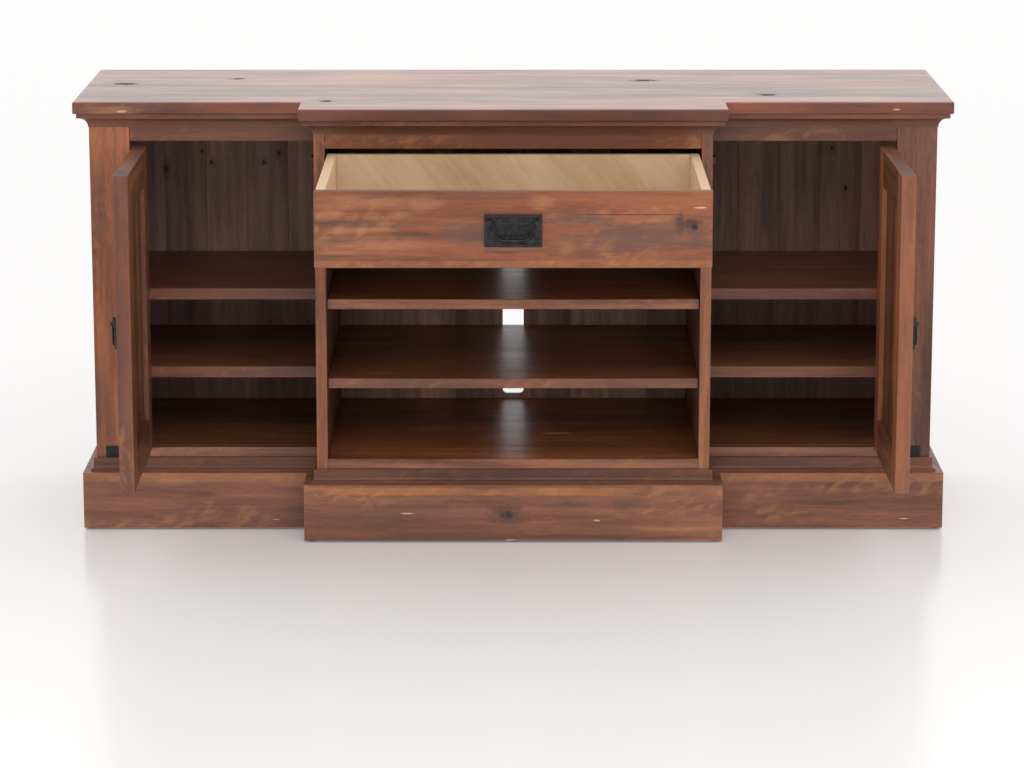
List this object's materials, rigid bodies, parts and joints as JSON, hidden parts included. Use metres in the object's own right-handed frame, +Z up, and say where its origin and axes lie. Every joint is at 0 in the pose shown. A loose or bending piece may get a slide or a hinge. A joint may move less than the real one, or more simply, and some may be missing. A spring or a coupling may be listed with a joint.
{
  "type": "tv unit",
  "caption": "Breakfront wooden media cabinet: a framed door at either side, open shelves with a drawer over them in the middle, moulded cornice and plinth.",
  "frame": {"origin": "on the floor, in the middle of the cabinet's back plane", "axes": "+X to the viewer's right along the cabinet's width, +Y towards the wall behind, +Z up"},
  "size_m": [1.83, 1.0499, 0.918],
  "materials": {
    "wood_top": "satin",
    "wood_face": "satin",
    "wood_inside": "satin",
    "maple": "satin",
    "plywood": "matte",
    "iron": "satin",
    "steel": "satin",
    "plastic": "matte"
  },
  "bodies": {
    "cabinet": {"back_panel_centre": "wood_inside", "back_panel_left": "wood_inside", "back_panel_right": "wood_inside", "base_cap_centre": "wood_face", "base_cap_left": "wood_face", "base_cap_right": "wood_face", "base_rails": "wood_face", "bottom_panel_centre": "wood_inside", "bottom_panel_left": "wood_inside", "bottom_panel_right": "wood_inside", "cable_board": "wood_inside", "cornice_centre": "wood_face", "cornice_left": "wood_face", "cornice_right": "wood_face", "door_catches": "plastic", "drawer_divider": "wood_inside", "end_panel_left": "wood_face", "end_panel_right": "wood_face", "floor_glides": "plastic", "foot_plates": "iron", "frieze_rail_centre": "wood_face", "frieze_rail_left": "wood_face", "frieze_rail_right": "wood_face", "hinge_frame_leaves": "steel", "partition_left": "wood_inside", "partition_right": "wood_inside", "pilaster_left": "wood_face", "pilaster_right": "wood_face", "plinth_centre": "wood_face", "plinth_left": "wood_face", "plinth_right": "wood_face", "runner_fixed": "steel", "shelf_centre_lower": "wood_inside", "shelf_centre_upper": "wood_inside", "shelf_left_lower": "wood_inside", "shelf_left_upper": "wood_inside", "shelf_pins": "steel", "shelf_right_lower": "wood_inside", "shelf_right_upper": "wood_inside", "top_panel": "wood_top"},
    "left_door": {"left_door_stiles": "wood_face", "left_door_rails": "wood_face", "left_door_panel": "wood_face", "left_door_hinge_leaves": "steel", "left_pull_plate": "iron"},
    "right_door": {"right_door_stiles": "wood_face", "right_door_rails": "wood_face", "right_door_panel": "wood_face", "right_door_hinge_leaves": "steel", "right_pull_plate": "iron"},
    "drawer": {"drawer_front": "wood_face", "drawer_sides": "maple", "drawer_back": "plywood", "drawer_bottom": "plywood", "runner_drawer": "steel", "handle_plate": "iron"},
    "runner_slides": {"runner_middle": "steel"},
    "drawer_bail": {"handle_bail": "iron"},
    "left_bail": {"left_pull_bail": "iron"},
    "right_bail": {"right_pull_bail": "iron"}
  },
  "joints": [
    {"name": "left_door_hinge", "type": "hinge", "parent": "cabinet", "child": "left_door", "pos_m": [-0.79975, -0.483, 0.5], "axis": [0, 0, 1], "range_deg": [-80.4, 89.6]},
    {"name": "right_door_hinge", "type": "hinge", "parent": "cabinet", "child": "right_door", "pos_m": [0.79975, -0.483, 0.5], "axis": [0, 0, 1], "range_deg": [-90.5, 79.5]},
    {"name": "drawer_slide", "type": "slide", "parent": "cabinet", "child": "drawer", "axis": [0, 1, 0], "range_m": [0, 0.457]},
    {"name": "runner_slide", "type": "slide", "parent": "cabinet", "child": "runner_slides", "axis": [0, 1, 0], "range_m": [0, 0.2285]},
    {"name": "drawer_bail_hinge", "type": "hinge", "parent": "drawer", "child": "drawer_bail", "pos_m": [0, -1.0456, 0.7612], "axis": [-1, 0, 0], "range_deg": [0, 100]},
    {"name": "left_bail_hinge", "type": "hinge", "parent": "left_door", "child": "left_bail", "pos_m": [-0.79988, -0.83676, 0.52295], "axis": [-0.007, 1, 0], "range_deg": [0, 100]},
    {"name": "right_bail_hinge", "type": "hinge", "parent": "right_door", "child": "right_bail", "pos_m": [0.80544, -0.83671, 0.52295], "axis": [0.0087, -1, 0], "range_deg": [0, 100]}
  ],
  "couplings": [
    {"joint": "runner_slide", "follows": "drawer_slide", "ratio": 0.5}
  ]
}
